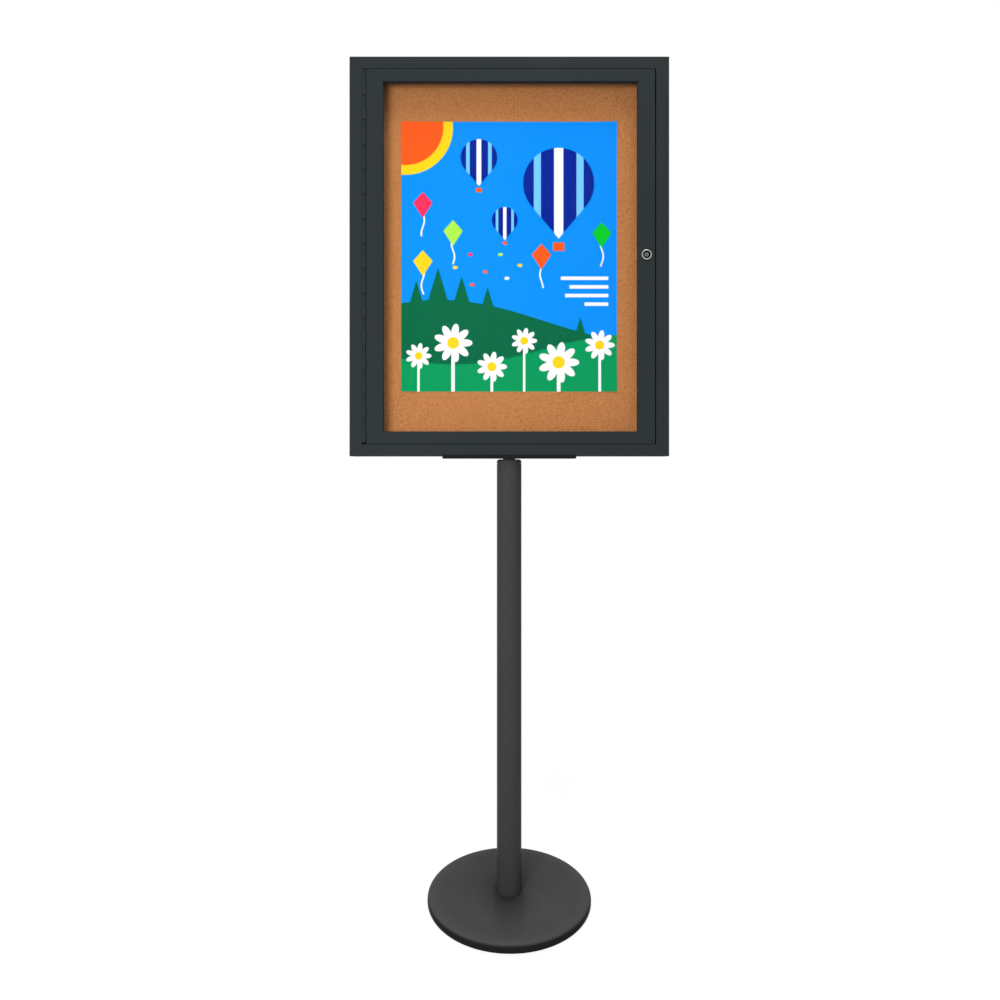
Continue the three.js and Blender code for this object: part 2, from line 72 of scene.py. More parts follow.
# Studio floor. The camera sees it as white as the backdrop, with a faint shadow of the disc, and
# it throws grey light up. Light and finishes are built from nodes: a value takes part in plain
# expressions, and each operation on it adds the Math node that does the same.
class Value:
    """What one socket gives, at a point of a surface or of the sky."""

    def __init__(self, nodes, socket):
        self.nodes = nodes
        self.socket = socket

    def math(self, operation, *others):
        inputs = dict(enumerate((self, *others)))
        return self.nodes.add("ShaderNodeMath", {"operation": operation}, inputs)

    def __add__(self, other):
        return self.math("ADD", other)

    def __mul__(self, other):
        return self.math("MULTIPLY", other)

    def __sub__(self, other):
        return self.math("SUBTRACT", other)

    def __rsub__(self, other):
        return self * -1 + other

    def __truediv__(self, other):
        return self.math("DIVIDE", other)

    def __lt__(self, other):
        return self.math("LESS_THAN", other)

    def __gt__(self, other):
        return self.math("GREATER_THAN", other)

    def __pow__(self, other):
        return self.math("POWER", other)

    def __abs__(self):
        return self.math("ABSOLUTE")

    def either(self, other):
        return self.math("MAXIMUM", other)

    def within(self, low, high):
        """Rises from zero at the first level to one at the second."""
        return ((self - low) / (high - low)).either(0).math("MINIMUM", 1)

    def between(self, low, high):
        """Goes from the first level to the second as the value goes from zero to one."""
        return self * (high - low) + low

    def reach(self, other):
        """How far off a point is that lies this far one way and that far the other."""
        return (self * self + other * other).math("SQRT")

    def along(self, way):
        """How far a vector goes along a direction."""
        settings = {"operation": "DOT_PRODUCT"}
        return self.nodes.add("ShaderNodeVectorMath", settings, {0: self, 1: way}, "Value")

    __radd__ = __add__
    __rmul__ = __mul__


class Nodes:
    """The nodes of one finish, or of the studio's sky."""

    def __init__(self, tree):
        self.tree = tree

    def add(self, kind, settings=None, inputs=None, output=0):
        """Adds one node: its settings first, then the values or links of its sockets."""
        node = self.tree.nodes.new(kind)
        for key, value in (settings or {}).items():
            if key == "stops":
                ramp = node.color_ramp.elements
                while len(ramp) < len(value):
                    ramp.new(1)
                for stop, (position, colour) in zip(ramp, value):
                    stop.position = position
                    stop.color = colour
            else:
                setattr(node, key, value)
        for key, value in (inputs or {}).items():
            self.feed(node.inputs[key], value)
        return Value(self, node.outputs[output])

    def feed(self, socket, value):
        if isinstance(value, Value):
            self.tree.links.new(value.socket, socket)
        else:
            socket.default_value = value

    def show(self, shader, output):
        self.feed(self.tree.nodes[output].inputs["Surface"], shader)

    def place(self):
        return self.add("ShaderNodeTexCoord", output="Object")

    def part(self, vector, axis):
        return self.add("ShaderNodeSeparateXYZ", None, {"Vector": vector}, axis)

    def noise(self, place, scale, detail, roughness=0.5):
        inputs = {"Vector": place, "Scale": scale, "Detail": detail, "Roughness": roughness}
        return self.add("ShaderNodeTexNoise", None, inputs)

    def backdrop(self):
        """One where the backdrop is looked at: by the camera, in metal and through glass."""
        rays = ("Is Camera Ray", "Is Glossy Ray", "Is Transmission Ray")
        seen, mirrored, through = (
            self.add("ShaderNodeLightPath", output=ray) for ray in rays)
        return seen.either(mirrored).either(through)

    def blend(self, mask, under, over):
        """Lays one colour over another where the mask is one."""
        inputs = {"Factor": mask, 6: under, 7: over}
        return self.add("ShaderNodeMix", {"data_type": "RGBA"}, inputs, 2)


class Finish(Nodes):
    """A procedural finish on one Principled shader, whose constants are set on its own sockets."""

    def __init__(self, name, **constants):
        self.material = bpy.data.materials.new(name)
        self.material.use_nodes = True
        super().__init__(self.material.node_tree)
        self.shader = self.tree.nodes["Principled BSDF"]
        self.drive(**constants)

    def drive(self, **values):
        """Sets the Principled shader's sockets, or links what varies over the surface to them."""
        for socket, value in values.items():
            self.feed(self.shader.inputs[socket.replace("_", " ")], value)

    def bump(self, height, distance, strength):
        inputs = {"Height": height, "Distance": distance, "Strength": strength}
        self.drive(Normal=self.add("ShaderNodeBump", None, inputs))


floor_half = 0.9
floor_grey = (0.6, 0.6, 0.6, 1)
floor_glow = 0.8
floor_white = 1.135
floor_shape = bmesh.new()
bmesh.ops.create_grid(floor_shape, x_segments=1, y_segments=1, size=floor_half)
floor_mesh = bpy.data.meshes.new("studio_floor")
floor_shape.to_mesh(floor_mesh)
floor_shape.free()
floor_finish = Finish("studio_white", Base_Color=floor_grey, Roughness=0.9, Specular_IOR_Level=0.1)
floor_finish.show(floor_finish.add("ShaderNodeMixShader", None, {
    0: floor_finish.backdrop() * floor_glow,
    1: Value(floor_finish, floor_finish.shader.outputs[0]),
    2: floor_finish.add("ShaderNodeEmission", None, {"Strength": floor_white}),
}), "Material Output")
floor_mesh.materials.append(floor_finish.material)
studio_floor = bpy.data.objects.new("studio_floor", floor_mesh)
scene.collection.objects.link(studio_floor)


# Soft studio light. A pale sky is brighter overhead, in front and behind, a round lamp stands by
# the camera and another high above it. The backdrop is white, in metal and glass too.
sky_even = 0.22
sky_top = 0.7
sky_top_focus = 2
sky_front = 0.5
sky_front_focus = 8
sky_front_way = Vector((-0.15, -1, -0.1)).normalized()
sky_back = 1.3
sky_back_focus = 4
sky_white = (1, 1, 1, 1)
backdrop_strength = 1
world = bpy.data.worlds.new("studio")
world.use_nodes = True
scene.world = world
sky = Nodes(world.node_tree)
sky_way = sky.add("ShaderNodeTexCoord", output="Generated")
sky_level = (
    sky.part(sky_way, "Z").either(0) ** sky_top_focus * sky_top
    + sky_way.along(sky_front_way).either(0) ** sky_front_focus * sky_front
    + sky.part(sky_way, "Y").either(0) ** sky_back_focus * sky_back + sky_even)
sky.show(sky.add("ShaderNodeMixShader", None, {
    0: sky.backdrop(),
    1: sky.add("ShaderNodeBackground", None, {"Color": sky_white, "Strength": sky_level}),
    2: sky.add("ShaderNodeBackground", None, {"Color": sky_white, "Strength": backdrop_strength}),
}), "World Output")


def add_lamp(name, place, target, size, power, mirrored):
    """A round lamp that looks at its target and is or isn't mirrored in glossy pieces."""
    lamp_data = bpy.data.lights.new(name, "AREA")
    lamp_data.shape = "DISK"
    lamp_data.size = size
    lamp_data.energy = power
    lamp = bpy.data.objects.new(name, lamp_data)
    lamp.location = place
    lamp.rotation_euler = (Vector(target) - Vector(place)).to_track_quat("-Z", "Y").to_euler()
    lamp.visible_camera = False
    lamp.visible_glossy = mirrored
    scene.collection.objects.link(lamp)


add_lamp(
    "front_lamp", place=(-0.6, -1.6, 1.0), target=(0, 0, 1.2), size=0.8, power=19, mirrored=False)
add_lamp(
    "high_lamp", place=(0.3, -1.0, 3.2), target=(0, 0, 0.6), size=0.9, power=17, mirrored=True)
scene.view_settings.view_transform = "Standard"


# Rubber ring under the disc. It is moulded black rubber, glued to the iron, and the whole board
# stands on it.
def srgb(red, green, blue):
    """A colour written in 0 to 255 display values, as the linear colour that a shader takes."""
    def linear(level):
        share = level / 255
        return share / 12.92 if share <= 0.04045 else ((share + 0.055) / 1.055) ** 2.4
    return (linear(red), linear(green), linear(blue), 1)


def scaled(colour, gain):
    """The same colour, paler or darker."""
    return tuple(channel * gain for channel in colour[:3]) + (1,)


def dress(finish, *nodes):
    """Gives frame pieces their finish where their own shape is right."""
    for node in nodes:
        piece = frame["nodes"][node]
        piece.data.materials.clear()
        piece.data.materials.append(finish.material)


def rubber(name, colour, grain_scale):
    """Dull rubber with a fine grain and a paler bloom in clouds, each twelve grains across."""
    bloom_grains = 12
    bloom_gain = 1.8
    finish = Finish(name, Specular_IOR_Level=0.3)
    place = finish.place()
    grain = finish.noise(place, grain_scale, detail=3)
    bloom = finish.noise(place, grain_scale / bloom_grains, detail=2)
    finish.drive(
        Base_Color=finish.blend(bloom, colour, scaled(colour, bloom_gain)),
        Roughness=grain.between(0.65, 0.9))
    finish.bump(grain, distance=0.0002, strength=0.6)
    return finish


ring_rubber = rubber("ring_rubber", srgb(18, 18, 18), grain_scale=700)
dress(ring_rubber, "floor_ring")


# Iron weight inside the disc. It is a sand casting with a primed, slightly pitted skin, and only
# its underside can be seen. The plug in the post's foot has the same skin.
def cast_iron():
    primer = srgb(52, 50, 48)
    stained_primer = srgb(84, 78, 72)
    finish = Finish("cast_iron", Metallic=0.35)
    place = finish.place()
    pits = finish.noise(place, scale=260, detail=5, roughness=0.6)
    stains = finish.noise(place, scale=14, detail=3)
    finish.drive(
        Base_Color=finish.blend(stains, primer, stained_primer),
        Roughness=stains.between(0.6, 0.8))
    finish.bump(pits, distance=0.0005, strength=0.7)
    return finish


dress(cast_iron(), "base_weight", "pole_foot_plug")


# Spun steel cover of the disc. The sheet is spun over a former, its rim is rounded and rolled in
# round the iron's foot just above the floor. It is coated in graphite, with a painted highlight
# round the top of the rim and painted shade over the rim's foot.
weld_distance = 1e-6
crease_angle = math.radians(35)


def spun(profile, corners, steps):
    """Turns a profile of (radius, height) points, its named corners rounded first."""
    shape = bmesh.new()
    verts = [shape.verts.new((radius, 0, height)) for radius, height in profile]
    for pair in zip(verts, verts[1:]):
        shape.edges.new(pair)
    for index, (radius, segments) in corners.items():
        bmesh.ops.bevel(
            shape, geom=[verts[index]], offset=radius, offset_type="OFFSET",
            segments=segments, profile=0.5, affect="VERTICES", material=-1)
    bmesh.ops.spin(
        shape, geom=list(shape.verts) + list(shape.edges), cent=(0, 0, 0), axis=(0, 0, 1),
        angle=math.tau, steps=steps, use_merge=True)
    bmesh.ops.remove_doubles(shape, verts=shape.verts, dist=weld_distance)
    bmesh.ops.recalc_face_normals(shape, faces=shape.faces)
    return shape


def add_piece(name, shape, finish, slot, body, *nodes):
    """Makes the shape an object that rides on its body and stands for its frame nodes."""
    mesh = bpy.data.meshes.new(name)
    shape.to_mesh(mesh)
    shape.free()
    mesh.materials.append(finish.material)
    mesh.shade_smooth()
    mesh.set_sharp_from_angle(angle=crease_angle)
    piece = bpy.data.objects.new(name, mesh)
    scene.collection.objects.link(piece)
    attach(piece, body)
    if nodes:
        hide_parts(*nodes)
    return piece


def uneven(roughness, broad, fine):
    """Roughness that wanders about its level, in broad patches and in fine marks."""
    broad_range = 0.12
    fine_range = 0.06
    lowest = roughness - (broad_range + fine_range) / 2
    return broad * broad_range + fine * fine_range + lowest


def powder_coat(name, colour, roughness, gloss, painted_light=None):
    """Sprayed and baked powder: a fine orange-peel skin, duller in patches, perhaps with painted
    light and shade.
    """
    peel_scale = 900
    ripple_scale = peel_scale / 7
    ripple_height = 1.5
    patch_share = 0.6
    peel_share = 0.4
    paler = scaled(colour, 1.22)
    finish = Finish(name, Specular_IOR_Level=gloss)
    place = finish.place()
    peel = finish.noise(place, peel_scale, detail=2)
    ripple = finish.noise(place, ripple_scale, detail=2)
    patches = finish.noise(place, scale=7, detail=3)
    coat = finish.blend(patches * patch_share + peel * peel_share, colour, paler)
    # An optional last step paints light and shade into the coat's colour.
    if painted_light:
        coat = painted_light(finish, place, coat)
    finish.drive(Base_Color=coat, Roughness=uneven(roughness, patches, peel))
    finish.bump(peel + ripple * ripple_height, distance=0.00009, strength=0.8)
    return finish


cover_low, cover_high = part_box("base_cover")
cover_radius = cover_high.x
graphite = srgb(67, 67, 67)


def painted_rim_highlight_and_shade(finish, place, coat):
    """Paints a paler ring as a highlight round the rim, and a dark band as shade at its foot."""
    # Painted highlight: a paler ring round the top of the rim.
    painted_highlight_starts = cover_radius - 0.028
    painted_highlight_ends = cover_radius - 0.008
    painted_highlight_strength = 0.45
    highlight_graphite = scaled(graphite, 1.45)
    # Painted shade: a dark band low on the rim, over its foot.
    painted_shade_starts = 0.0178
    painted_shade_ends = 0.0142
    painted_shade_strength = 0.94
    shaded_graphite = scaled(graphite, 0.22)
    reach = finish.part(place, "X").reach(finish.part(place, "Y"))
    painted_highlight_mask = reach.within(painted_highlight_starts, painted_highlight_ends)
    painted_shade_mask = finish.part(place, "Z").within(painted_shade_starts, painted_shade_ends)
    paler = finish.blend(painted_highlight_mask * painted_highlight_strength, coat, highlight_graphite)
    return finish.blend(painted_shade_mask * painted_shade_strength, paler, shaded_graphite)


# The disc's coat has a painted highlight and painted shade on its rim.
disc_paint = powder_coat("disc_paint", graphite, roughness=0.32, gloss=0.01, painted_light=painted_rim_highlight_and_shade)
cover_sheet = 0.0015
cover_rim = 0.009
cover_rim_segments = 10
cover_curl_in = 0.00385
cover_curl_rise = 0.00203
cover_curl_round = 0.00399
cover_curl_segments = 8
cover_bore = 0.0063
cover_steps = 144
cover_profile = [
    (cover_radius - cover_curl_in, cover_low.z), (cover_radius, cover_low.z + cover_curl_rise),
    (cover_radius, cover_high.z), (cover_bore, cover_high.z)]
cover_corners = {
    1: (cover_curl_round, cover_curl_segments), 2: (cover_rim, cover_rim_segments)}
cover = add_piece(
    "disc_cover", spun(cover_profile, cover_corners, cover_steps), disc_paint, "base_paint",
    "cabinet", "base_cover")
cover_wall = cover.modifiers.new("sheet", "SOLIDIFY")
cover_wall.thickness = cover_sheet
cover_wall.offset = -1


# Bolt and washer under the disc. Both are zinc plated, and the bolt pulls the post down onto the
# cover through the iron.
def plated(name, colour, roughness, cloud_scale):
    """Bright or zinc plating: metal with a faint cloudiness and fine handling marks."""
    mark_scale = cloud_scale * 9
    cloudy = scaled(colour, 0.78)
    finish = Finish(name, Metallic=1.0)
    place = finish.place()
    clouds = finish.noise(place, cloud_scale, detail=3)
    marks = finish.noise(place, mark_scale, detail=2)
    finish.drive(
        Base_Color=finish.blend(clouds, cloudy, colour),
        Roughness=uneven(roughness, clouds, marks))
    finish.bump(marks, distance=0.00003, strength=0.5)
    return finish


zinc = plated("zinc_plate", srgb(186, 190, 194), roughness=0.36, cloud_scale=120)
dress(zinc, "base_washer", "base_bolt")


# Post. It is a welded steel tube, straight and plain, coated in graphite like the disc. It stands
# on the cover, where the bolt from below holds it by the plug in its foot.
graphite_paint = powder_coat("graphite_paint", srgb(61, 61, 61), roughness=0.3, gloss=0.02)
post_low, post_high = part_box("pole_tube")
post_radius = post_high.x
post_wall = 0.002
post_bore = post_radius - post_wall
post_steps = 96
post_profile = [
    (post_bore, post_low.z), (post_radius, post_low.z), (post_radius, post_high.z),
    (post_bore, post_high.z), (post_bore, post_low.z)]
add_piece(
    "post_tube", spun(post_profile, {}, post_steps), graphite_paint, "base_paint", "cabinet",
    "pole_tube")


# Cap on the post. It is turned steel, welded in the tube, with a rounded shoulder and a short
# neck that carries the plate.
cap_low, cap_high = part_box("pole_top_cap")
cap_gap = 0.0003
cap_spigot = post_bore - cap_gap
cap_bore = 0.0033
cap_neck = 0.012
cap_neck_height = 0.0012
cap_shoulder = 0.005
cap_shoulder_segments = 8
cap_rim_bottom = post_high.z + cap_gap
cap_shoulder_top = cap_high.z - cap_neck_height
cap_profile = [
    (cap_bore, cap_low.z), (cap_spigot, cap_low.z), (cap_spigot, cap_rim_bottom),
    (post_radius, cap_rim_bottom), (post_radius, cap_shoulder_top),
    (cap_neck, cap_shoulder_top), (cap_neck, cap_high.z), (cap_bore, cap_high.z),
    (cap_bore, cap_low.z)]
cap_corners = {4: (cap_shoulder, cap_shoulder_segments)}
add_piece(
    "post_cap", spun(cap_profile, cap_corners, post_steps), graphite_paint, "plate_paint",
    "cabinet", "pole_top_cap")


# Plate under the cabinet: black coated steel, folded up in low lips in front and behind. Its
# countersunk bolt goes down into the cap, and the head is flush.
def eased(node, softness, segments=2, along=None):
    """A copy of a frame piece as one clean skin, its sharp edges eased by a small round."""
    flat_angle = math.radians(0.5)
    parallel = 0.999
    shape = bmesh.new()
    shape.from_mesh(frame["nodes"][node].data)
    bmesh.ops.remove_doubles(shape, verts=shape.verts, dist=weld_distance)
    bmesh.ops.dissolve_limit(
        shape, angle_limit=flat_angle, verts=shape.verts, edges=shape.edges,
        use_dissolve_boundaries=False)
    sharp = [
        edge for edge in shape.edges
        if len(edge.link_faces) == 2 and edge.calc_face_angle() > crease_angle]
    if along:
        way = Vector(along)
        sharp = [
            edge for edge in sharp
            if abs((edge.verts[1].co - edge.verts[0].co).normalized().dot(way)) > parallel]
    bmesh.ops.bevel(
        shape, geom=sharp, offset=softness, offset_type="OFFSET", segments=segments, profile=0.5,
        affect="EDGES", material=-1, clamp_overlap=True)
    return shape


def add_eased(name, softness, finish, slot, body, node, along=None):
    """Puts an eased copy in a frame piece's place, its broad faces kept flat in the light."""
    piece = add_piece(name, eased(node, softness, along=along), finish, slot, body, node)
    piece.modifiers.new("flat_faces", "WEIGHTED_NORMAL").keep_sharp = True


black_paint = powder_coat("black_paint", srgb(22, 22, 22), roughness=0.42, gloss=0.08)
plate_easing = 0.0005
add_eased("head_plate_bar", plate_easing, black_paint, "plate_paint", "cabinet", "head_plate")
dress(zinc, "plate_bolt")


# Screws up through the plate into the cabinet's bottom bar: countersunk, black coated, with
# hexagon sockets, two near the front and two near the back. Their heads are flush.
screw_facets = 24
recess_width = 0.5
recess_taper = 0.85
recess_collar = 0.62
cross_arm_width = 0.3
sunk_recess_depth = 0.4
pan_recess_depth = 0.7
pan_round = 0.55
pan_round_segments = 4


def recess_outline(kind, size):
    """Corner points of a driving recess, going round once."""
    if kind == "hexagon":
        angles = [math.tau * i / 6 for i in range(6)]
        return [(size * math.cos(angle), size * math.sin(angle)) for angle in angles]
    arm = size * cross_arm_width
    quarter = [(size, -arm), (size, arm), (arm, arm)]
    turns = [Matrix.Rotation(math.radians(90) * i, 2) for i in range(4)]
    return [tuple(turn @ Vector(point)) for turn in turns for point in quarter]


def screw(profile, corners, kind, size, depth):
    """Turns a screw whose profile ends at the rim of its recess, and punches the recess."""
    shape = spun(profile, corners, screw_facets)
    rim = [edge for edge in shape.edges if edge.is_boundary]
    top = profile[-1][1]
    outline = recess_outline(kind, size)
    mouth = [shape.verts.new((x, y, top)) for x, y in outline]
    floor = [
        shape.verts.new((x * recess_taper, y * recess_taper, top - depth)) for x, y in outline]
    mouth_edges = [shape.edges.new(pair) for pair in zip(mouth, mouth[1:] + mouth[:1])]
    floor_edges = [shape.edges.new(pair) for pair in zip(floor, floor[1:] + floor[:1])]
    bmesh.ops.bridge_loops(shape, edges=rim + mouth_edges)
    bmesh.ops.bridge_loops(shape, edges=mouth_edges + floor_edges)
    shape.faces.new(floor)
    bmesh.ops.recalc_face_normals(shape, faces=shape.faces)
    return shape


def sunk_screw(shank, head, length, kind):
    """A countersunk screw whose flat face is at zero and whose tip points down."""
    cone = head - shank
    profile = [
        (0, -length), (shank, -length), (shank, -cone), (head, 0), (head * recess_collar, 0)]
    return screw(profile, {}, kind, head * recess_width, head * sunk_recess_depth)


def pan_screw(shank, head, rise, length, kind):
    """A pan head screw whose seat is at zero and whose tip points down."""
    profile = [
        (0, -length), (shank, -length), (shank, 0), (head, 0), (head, rise),
        (head * recess_collar, rise)]
    corners = {4: (rise * pan_round, pan_round_segments)}
    return screw(profile, corners, kind, head * recess_width, rise * pan_recess_depth)


def facing(degrees, axis):
    """The turn that brings a piece made face up round to the way it faces."""
    return Matrix.Rotation(math.radians(degrees), 3, axis)


def put(shape, place, turn=None):
    """Turns a shape about the origin, then moves it to its place."""
    if turn is not None:
        bmesh.ops.rotate(shape, verts=shape.verts, cent=(0, 0, 0), matrix=turn)
    bmesh.ops.translate(shape, verts=shape.verts, vec=place)
    return shape


face_down = facing(180, "X")
plate_screw_count = 4
plate_screw_shank = 0.0025
for number in range(1, plate_screw_count + 1):
    node = f"plate_screw_{number}"
    low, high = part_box(node)
    shape = sunk_screw(plate_screw_shank, (high.x - low.x) / 2, high.z - low.z, "hexagon")
    put(shape, ((low.x + high.x) / 2, (low.y + high.y) / 2, low.z), face_down)
    add_piece(f"plate_screw_socket_{number}", shape, black_paint, "plate_paint", "cabinet", node)


# Cabinet bars. Four lengths of one aluminium extrusion, mitred, coated in slate charcoal and
# pulled together by cast keys in their hollows. The corners of the section are slightly round.
charcoal_paint = powder_coat("charcoal_paint", srgb(40, 45.5, 47), roughness=0.45, gloss=0.08)
bar_corner = 0.0005
bars = {
    "left_stile": (0, 0, 1), "right_stile": (0, 0, 1), "bottom_rail": (1, 0, 0),
    "top_rail": (1, 0, 0)}
for side, way in bars.items():
    add_eased(
        f"cabinet_bar_{side}", bar_corner, charcoal_paint, "frame_paint", "cabinet",
        f"cabinet_{side}", way)
for corner in ("lower_left", "lower_right", "upper_left", "upper_right"):
    dress(zinc, f"cabinet_key_{corner}", f"door_key_{corner}")


# Cork pinboard. Ground cork is pressed and bound into a sheet, so its face is a mosaic of paler
# and darker grains about two millimetres across, with small open pits between them.
def pressed_cork():
    grains_per_metre = 520
    grain_stir = (0.004, 0.004, 0.004)
    grain_tones = [
        (0.0, srgb(164, 98, 52)), (0.12, srgb(187, 121, 69)), (0.55, srgb(196, 130, 78)),
        (0.9, srgb(203, 138, 84)), (1.0, srgb(209, 148, 93))]
    seam_starts = 0.62
    seam_strength = 0.2
    speckle_strength = 0.18
    speckle_height = 0.5
    pit_depth = 0.8
    cloud_strength = 0.16
    bark_brown = srgb(128, 72, 34)
    pale_amber = srgb(210, 140, 78)
    finish = Finish("pressed_cork", Roughness=0.9, Specular_IOR_Level=0.1)
    place = finish.place()
    drift = finish.noise(place, scale=60, detail=2)
    stirred = finish.add("ShaderNodeVectorMath", {"operation": "MULTIPLY_ADD"}, {
        0: drift, 1: grain_stir, 2: place})
    grains = {"Vector": stirred, "Scale": grains_per_metre}
    reach = finish.add("ShaderNodeTexVoronoi", None, grains)
    tone = finish.add("ShaderNodeTexVoronoi", None, grains, "Color")
    level = finish.add("ShaderNodeSeparateColor", None, {"Color": tone})
    body = finish.add("ShaderNodeValToRGB", {"stops": grain_tones}, {"Fac": level})
    speckle = finish.noise(place, scale=1500, detail=4, roughness=0.6)
    clouds = finish.noise(place, scale=9, detail=3)
    seams = (reach > seam_starts) * seam_strength
    darker = finish.blend(seams + speckle * speckle_strength, body, bark_brown)
    finish.drive(Base_Color=finish.blend(clouds * cloud_strength, darker, pale_amber))
    finish.bump(
        speckle * speckle_height - reach * pit_depth, distance=0.0004, strength=0.5)
    return finish


dress(pressed_cork(), "cork_sheet")


# Fibreboard behind the cork: pressed wood fibre, plain brown. It stiffens the back, and lies
# between the cork and the back panel.
def pressed_fibre():
    fibre_share = 0.6
    cloud_share = 0.4
    dark_fibre = srgb(98, 70, 44)
    pale_fibre = srgb(158, 124, 86)
    finish = Finish("pressed_fibre", Roughness=0.9)
    place = finish.place()
    fibres = finish.noise(place, scale=800, detail=5, roughness=0.7)
    clouds = finish.noise(place, scale=25, detail=3)
    mixed = fibres * fibre_share + clouds * cloud_share
    finish.drive(Base_Color=finish.blend(mixed, dark_fibre, pale_fibre))
    finish.bump(fibres, distance=0.0003, strength=0.5)
    return finish


dress(pressed_fibre(), "backing_board")


# Printed sheet. It is thin coated paper fixed flat on the cork, with corners that lift a little.
# The print is a plain pattern of its own: balloons, kites, firs and daisies, without lettering.
sheet_low, sheet_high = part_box("poster")
sheet_width = sheet_high.x - sheet_low.x
sheet_height = sheet_high.z - sheet_low.z
sheet_middle = (sheet_low.z + sheet_high.z) / 2


def printed_paper():
    """The print, drawn in half widths of the sheet from its middle, from the back layer forward."""
    finish = Finish("printed_paper", Specular_IOR_Level=0.03)
    place = finish.place()
    x = finish.part(place, "X") / (sheet_width / 2)
    y = (finish.part(place, "Z") - sheet_middle) / (sheet_width / 2)

    sky_blue = srgb(0, 146, 255)
    navy = srgb(0, 34, 150)
    white = srgb(252, 253, 255)
    pale_blue = srgb(120, 206, 255)
    dark_green = srgb(0, 104, 60)
    green = srgb(0, 154, 88)
    lime = srgb(176, 240, 70)
    pink = srgb(255, 48, 90)
    orange = srgb(255, 92, 0)
    yellow = srgb(255, 216, 0)
    leaf = srgb(0, 206, 22)
    layers = []

    def disc(cx, cy, radius, squash=1.0):
        across = x - cx
        along = (y - cy) * squash
        return across * across + along * along < radius * radius

    def bar(cx, cy, half_width, half_height):
        return (abs(x - cx) < half_width) * (abs(y - cy) < half_height)

    def kite(cx, cy, half_width, top, bottom):
        lean = abs(x - cx) / half_width
        rise = y - cy
        return (lean + rise / top < 1) * (lean - rise / bottom < 1)

    def below(base, height, pace, shift):
        return y < (x * pace + shift).math("SINE") * height + base

    # Sun in the upper left corner, in a yellow ring
    sun_x, sun_y = -0.96, 1.2
    for radius, colour in ((0.44, yellow), (0.35, orange)):
        layers.append((disc(sun_x, sun_y, radius), colour))

    # Far slope with fir trees on it, and the meadow in front
    slope = below(base=-0.6, height=0.2, pace=1.6, shift=2.6)
    left_foot, right_foot = -0.52, -0.84
    fir_width, fir_root = 0.3, 0.06
    firs = ((-0.86, 0.3), (-0.66, 0.42), (-0.44, 0.34), (-0.2, 0.24), (0.5, 0.2), (0.66, 0.28))
    for cx, height in firs:
        foot = right_foot if cx > 0 else left_foot
        slope = slope.either(kite(cx, foot, height * fir_width, height, fir_root))
    layers.append((slope, dark_green))
    layers.append((below(base=-0.86, height=0.14, pace=1.9, shift=-0.6), green))

    # Balloons with pale gores, and their baskets, in shares of a balloon's radius
    waist, waist_width, cone = 0.645, 0.764, 0.905
    gore, side_gore, side_gore_at = 0.13, 0.1, 0.6
    basket_at, basket_width, basket_height = 1.78, 0.16, 0.12
    balloons = ((0.46, 0.68, 0.33), (-0.28, 0.92, 0.17), (-0.04, 0.34, 0.12))
    for cx, cy, size in balloons:
        waist_y = cy - size * waist
        lower = kite(cx, waist_y, size * waist_width, size, size * cone)
        envelope = disc(cx, cy, size).either(lower * (y < waist_y))
        layers.append((envelope, navy))
        layers.append((envelope * (abs(x - cx) < size * gore), white))
        sides = abs(abs(x - cx) - size * side_gore_at) < size * side_gore
        layers.append((envelope * sides, pale_blue))
        basket = bar(cx, cy - size * basket_at, size * basket_width, size * basket_height)
        layers.append((basket, orange))

    # Kites at all heights, each with a waving tail
    tail_at, tail_half, tail_width = 0.21, 0.1, 0.007
    wave, wave_pace, wave_shift = 0.014, 26, 9
    kites = (
        (-0.8, 0.5, pink), (-0.52, 0.24, lime), (-0.8, -0.04, yellow), (0.86, 0.22, leaf),
        (0.3, 0.02, orange))
    for cx, cy, colour in kites:
        sway = (y * wave_pace + cx * wave_shift).math("SINE") * wave
        tail = (abs(x - cx - sway) < tail_width) * (abs(y - cy + tail_at) < tail_half)
        layers.append((tail, white))
        layers.append((kite(cx, cy, half_width=0.09, top=0.1, bottom=0.14), colour))

    # Plain bars where a sheet has its small print
    right_end, first_row, row_pitch, row_half = 0.92, -0.2, 0.08, 0.016
    for row, half in enumerate((0.22, 0.18, 0.2, 0.11)):
        layers.append((bar(right_end - half, first_row - row * row_pitch, half, row_half), white))

    # Daisies all over the meadow, in shares of a daisy's radius
    petal_count, petal_root, petal_wave = 9, 0.55, 0.45
    stem_half, stem_width, eye = 0.4, 0.09, 0.3
    daisies = (
        (-0.84, -0.92, 0.12), (-0.52, -0.8, 0.18), (-0.16, -1.02, 0.14), (0.14, -0.78, 0.12),
        (0.46, -0.98, 0.19), (0.84, -0.82, 0.14))
    for cx, cy, size in daisies:
        across = x - cx
        along = y - cy
        angle = along.math("ARCTAN2", across)
        reach = across.reach(along)
        lobes = abs((angle * (petal_count / 2)).math("COSINE"))
        petals = lobes * (size * petal_wave) + size * petal_root
        layers.append((bar(cx, cy - stem_half, size * stem_width, stem_half), white))
        layers.append((reach < petals, white))
        layers.append((reach < size * eye, yellow))

    # Loose petals on the wind
    loose_petals = (
        (-0.5, -0.1, yellow), (-0.36, 0.02, pink), (-0.22, -0.14, orange), (-0.08, 0.02, lime),
        (-0.02, -0.2, white), (0.1, -0.08, yellow), (-0.34, -0.26, orange))
    for cx, cy, colour in loose_petals:
        layers.append((disc(cx, cy, radius=0.024, squash=1.6), colour))

    # Ink on the paper's fine fibre
    fibre_strength = 0.06
    ink = sky_blue
    for mask, colour in layers:
        ink = finish.blend(mask, ink, colour)
    fibre = finish.noise(place, scale=1800, detail=3)
    finish.drive(
        Base_Color=finish.blend(fibre * fibre_strength, ink, navy),
        Roughness=fibre.between(0.5, 0.62))
    finish.bump(fibre, distance=0.00002, strength=0.4)
    return finish


face_front = facing(90, "X")


